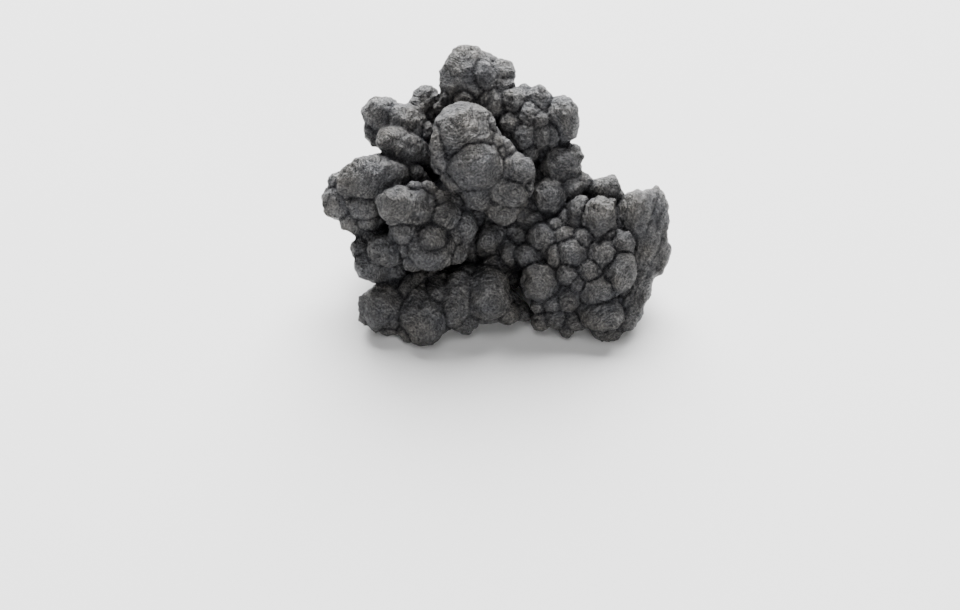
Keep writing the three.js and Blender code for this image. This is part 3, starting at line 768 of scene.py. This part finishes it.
def hollows(points, quads, rounds):
    """How far each point lies below its neighbourhood, in mm: the skin is smoothed by moving points to
    the mean of their neighbours for some rounds, and the rise of the smoothed skin along the normal is
    taken, which is positive in hollows and negative on crests."""
    left = np.concatenate([quads.ravel(), np.roll(quads, 1, axis=1).ravel()])
    right = np.concatenate([np.roll(quads, 1, axis=1).ravel(), quads.ravel()])
    count = np.bincount(left, minlength=len(points))[:, None]
    smooth = points.copy()
    for _ in range(rounds):
        total = [np.bincount(left, smooth[right, k], len(points)) for k in range(3)]
        smooth = np.stack(total, axis=1) / count
    return ((smooth - points) * skin_normals(smooth, quads)).sum(axis=1)


def point_value(name, values):
    """Stores one number per point for the material to read."""
    store = nodules.data.attributes.new(name, "FLOAT", "POINT")
    store.data.foreach_set("value", np.asarray(values, np.float32))


hollow = hollows(moved, quads, SMOOTHING_ROUNDS)
point_value("hollow", np.clip(0.5 + hollow / HOLLOW_SPAN, 0, 1))
point_value("arc", arc)
# The crease value also sets how dark the painted shade along each crease is.
point_value("crease", crease * seams[owner] / DEEP_SEAM)
print("hollows in mm:", np.round(np.percentile(hollow, [1, 10, 50, 90, 99]), 3))

# %% [markdown]
# ## Oxidised lead
# Fresh lead shines, and within days it dulls to a dark grey skin of oxide that still has a soft sheen.
# The skin is crinkled and finely ringed, and crests are rubbed a little brighter. Its colour also carries
# painted shade, darker in the crinkles' grooves, in the grit's pits, in the hollows and along the creases,
# and painted sheen on the grains of grit. The hollows keep a bluish film of oxide. A photograph could be
# wrapped round the piece instead, but patterns that follow the form fit every side of it.

# %% Helpers for the material's node tree
lead = bpy.data.materials.new("oxidised_lead")
lead.use_nodes = True
nodes = lead.node_tree.nodes
links = lead.node_tree.links
shader = nodes["Principled BSDF"]
coords = nodes.new("ShaderNodeTexCoord")


def noise(scale, detail, roughness, kind="FBM"):
    """Noise with that many features in a metre."""
    node = nodes.new("ShaderNodeTexNoise")
    node.noise_type = kind
    node.inputs["Scale"].default_value = scale
    node.inputs["Detail"].default_value = detail
    node.inputs["Roughness"].default_value = roughness
    links.new(coords.outputs["Object"], node.inputs["Vector"])
    return node.outputs["Fac"]


def stored(name):
    """A number that the points carry."""
    node = nodes.new("ShaderNodeAttribute")
    node.attribute_name = name
    return node.outputs["Fac"]


def ramp(value, *stops):
    """Colours by value: stops are pairs of a position and a linear colour."""
    node = nodes.new("ShaderNodeValToRGB")
    elements = node.color_ramp.elements
    while len(elements) < len(stops):
        elements.new(0.5)
    for element, (position, colour) in zip(elements, stops):
        element.position = position
        element.color = (*colour, 1)
    links.new(value, node.inputs["Fac"])
    return node.outputs["Color"]


def multiplied(a, b):
    """Two colours multiplied."""
    node = nodes.new("ShaderNodeMix")
    node.data_type = "RGBA"
    node.blend_type = "MULTIPLY"
    node.inputs["Factor"].default_value = 1
    links.new(a, node.inputs["A"])
    links.new(b, node.inputs["B"])
    return node.outputs["Result"]


def spread(value, low, high):
    """A value from 0 to 1 as one from low to high."""
    node = nodes.new("ShaderNodeMapRange")
    node.inputs["To Min"].default_value = low
    node.inputs["To Max"].default_value = high
    links.new(value, node.inputs["Value"])
    return node.outputs["Result"]


def computed(operation, *values):
    """The result of arithmetic on numbers or on other nodes' outputs."""
    node = nodes.new("ShaderNodeMath")
    node.operation = operation
    for socket, value in zip(node.inputs, values):
        if isinstance(value, bpy.types.NodeSocket):
            links.new(value, socket)
        else:
            socket.default_value = value
    return node.outputs["Value"]


def bumped(height, depth, below=None):
    """A bump of that depth in metres, over the normal below."""
    node = nodes.new("ShaderNodeBump")
    node.inputs["Strength"].default_value = 1
    node.inputs["Distance"].default_value = depth
    links.new(height, node.inputs["Height"])
    if below is not None:
        links.new(below, node.inputs["Normal"])
    return node.outputs["Normal"]


print("material:", lead.name)

# %% Growth rings, here strong and there worn away, and grit and crinkles
RING_ANGLE_PER_MM = 17

ring_turn = computed("MULTIPLY_ADD", stored("arc"), RING_ANGLE_PER_MM, spread(noise(700, 5, 0.65), 0, 30))
ring_wave = computed("SINE", ring_turn)
worn_wave = computed("MULTIPLY", ring_wave, spread(noise(420, 3, 0.6), -0.6, 2.0))
ring_height = computed("MULTIPLY_ADD", worn_wave, 0.5, 0.5)
grit = noise(4200, 4, 0.65)
crinkle = noise(1500, 5, 0.6, "RIDGED_MULTIFRACTAL")
print("nodes with rings, grit and crinkles:", len(nodes))

# %% Greys, with painted shade in the hollows, creases, crinkle grooves and grit pits, painted sheen on the grit, and a bluish oxide film in the hollows
greys = ramp(noise(600, 4, 0.6), (0.35, (0.042, 0.042, 0.043)), (0.5, (0.054, 0.054, 0.054)),
             (0.66, (0.068, 0.067, 0.066)))
# Painted shade and painted sheen: the grit pattern makes the colour darker in its pits and much brighter on
# its grains, in place of their shade and glints.
grit_shade_and_sheen = ramp(grit, (0.36, (0.4, 0.4, 0.41)), (0.5, (0.97, 0.97, 0.97)), (0.66, (2.0, 1.98, 1.96)))
# Painted shade: the crinkle pattern darkens the colour in its grooves and lightens it on the ridges between
# them.
crinkle_shade = ramp(crinkle, (0.25, (1.25, 1.25, 1.25)), (0.75, (0.35, 0.35, 0.36)))
ringed_grey = ramp(ring_height, (0.1, (0.7, 0.7, 0.71)), (0.5, (1, 1, 1)), (0.9, (1.2, 1.2, 1.19)))
hues = ramp(noise(260, 2, 0.5), (0.36, (0.97, 0.99, 1.04)), (0.5, (1, 1, 1)), (0.66, (1.04, 1.01, 0.96)))
# Darker in the hollows: painted shade, together with a bluish tint of oxide film there. The crests are
# rubbed a little lighter.
hollow_shade_and_film = ramp(stored("hollow"), (0.2, (1.12, 1.11, 1.1)), (0.5, (0.98, 0.98, 0.99)), (0.8, (0.6, 0.61, 0.65)))
# Painted shade: the colour is darkened along the creases where knobs meet, down to a quarter at the
# deepest.
crease_shade = ramp(stored("crease"), (0.3, (1, 1, 1)), (0.9, (0.25, 0.25, 0.27)))
# Painted shade of the hollows, creases and crinkles, the bluish film and random hues, then the greys, the
# grit's painted shade and sheen, and the rings, all multiplied into one colour.
shaded_and_weathered = multiplied(multiplied(hollow_shade_and_film, crease_shade), multiplied(crinkle_shade, hues))
marks_and_grit_shade = multiplied(multiplied(greys, grit_shade_and_sheen), ringed_grey)
links.new(multiplied(marks_and_grit_shade, shaded_and_weathered), shader.inputs["Base Color"])
shader.inputs["Metallic"].default_value = 0.5
shader.inputs["Specular IOR Level"].default_value = 0.4
links.new(spread(noise(700, 4, 0.6), 0.30, 0.50), shader.inputs["Roughness"])
print("nodes with the greys:", len(nodes))

# %% The same crinkles, rings and grit as bumps, and fine pits
CRINKLE_BUMP = -0.00028
RING_BUMP = 0.00007
GRIT_BUMP = 0.00022
PIT_BUMP = 0.00010

wrinkled = bumped(crinkle, CRINKLE_BUMP)
ringed = bumped(ring_height, RING_BUMP, wrinkled)
grainy = bumped(grit, GRIT_BUMP, ringed)
links.new(bumped(noise(6000, 3, 0.6), PIT_BUMP, grainy), shader.inputs["Normal"])
nodules.data.materials.append(lead)
print("nodes in the whole material:", len(nodes))

# %% [markdown]
# ## Table, light and camera
# The piece stands on a pale table. A wide soft light from above and behind gives it bright tops and a
# shadow in front, and a low lamp in front and a weak one above fill the shadows. A sun lamp would be
# simpler, but its shadows have hard edges. The camera looks down from the front through a long lens.

# %% Table
FLOOR_HALF = 2.0
FLOOR_GREY = 0.82

floor_points = np.array([[-1, -1, 0], [1, -1, 0], [1, 1, 0], [-1, 1, 0]]) * FLOOR_HALF
floor = bpy.data.objects.new("table", new_mesh("table", floor_points, np.array([[0, 1, 2, 3]])))
bpy.context.scene.collection.objects.link(floor)
paper = bpy.data.materials.new("pale_paper")
paper.use_nodes = True
paper_shader = paper.node_tree.nodes["Principled BSDF"]
paper_shader.inputs["Base Color"].default_value = (FLOOR_GREY, FLOOR_GREY, FLOOR_GREY, 1)
paper_shader.inputs["Roughness"].default_value = 0.8
floor.data.materials.append(paper)
print("table side in m:", 2 * FLOOR_HALF)

# %% Light
WORLD_STRENGTH = 0.06


def soft_light(name, place, size, watts):
    """A square lamp of that side in metres, aimed at the piece."""
    lamp = bpy.data.lights.new(name, "AREA")
    lamp.size = size
    lamp.energy = watts
    holder = bpy.data.objects.new(name, lamp)
    bpy.context.scene.collection.objects.link(holder)
    holder.location = place
    aim = -holder.location
    holder.rotation_euler = aim.to_track_quat("-Z", "Y").to_euler()


soft_light("overhead", (0.05, 0.85, 0.72), 1.1, 86)
soft_light("front_fill", (0.45, -1.1, 0.16), 0.8, 15)
soft_light("top_fill", (-0.1, -0.3, 1.1), 0.6, 3.5)
world = bpy.data.worlds.new("tent")
world.use_nodes = True
background = world.node_tree.nodes["Background"]
background.inputs["Color"].default_value = (1, 1, 1, 1)
background.inputs["Strength"].default_value = WORLD_STRENGTH
bpy.context.scene.world = world
print("lamps:", [lamp.name for lamp in bpy.data.lights])

# %% Camera
PICTURE_WIDTH = 960
FOCAL_PIXELS = 3717
AXIS_ELEVATION = np.radians(38.5)
LEFT_TURN = np.radians(0.289)
SENSOR_WIDTH = 36

eye = (PLANE_MIDDLE + EYE_DISTANCE * NEAR) * MM
lens = bpy.data.cameras.new("camera")
lens.sensor_width = SENSOR_WIDTH
lens.lens = FOCAL_PIXELS / PICTURE_WIDTH * SENSOR_WIDTH
camera = bpy.data.objects.new("camera", lens)
bpy.context.scene.collection.objects.link(camera)
camera.location = eye
camera.rotation_euler = (np.pi / 2 - AXIS_ELEVATION, 0, LEFT_TURN)
bpy.context.scene.camera = camera
print("camera in mm:", np.round(eye / MM, 1), "with a lens of", round(lens.lens, 1), "mm")
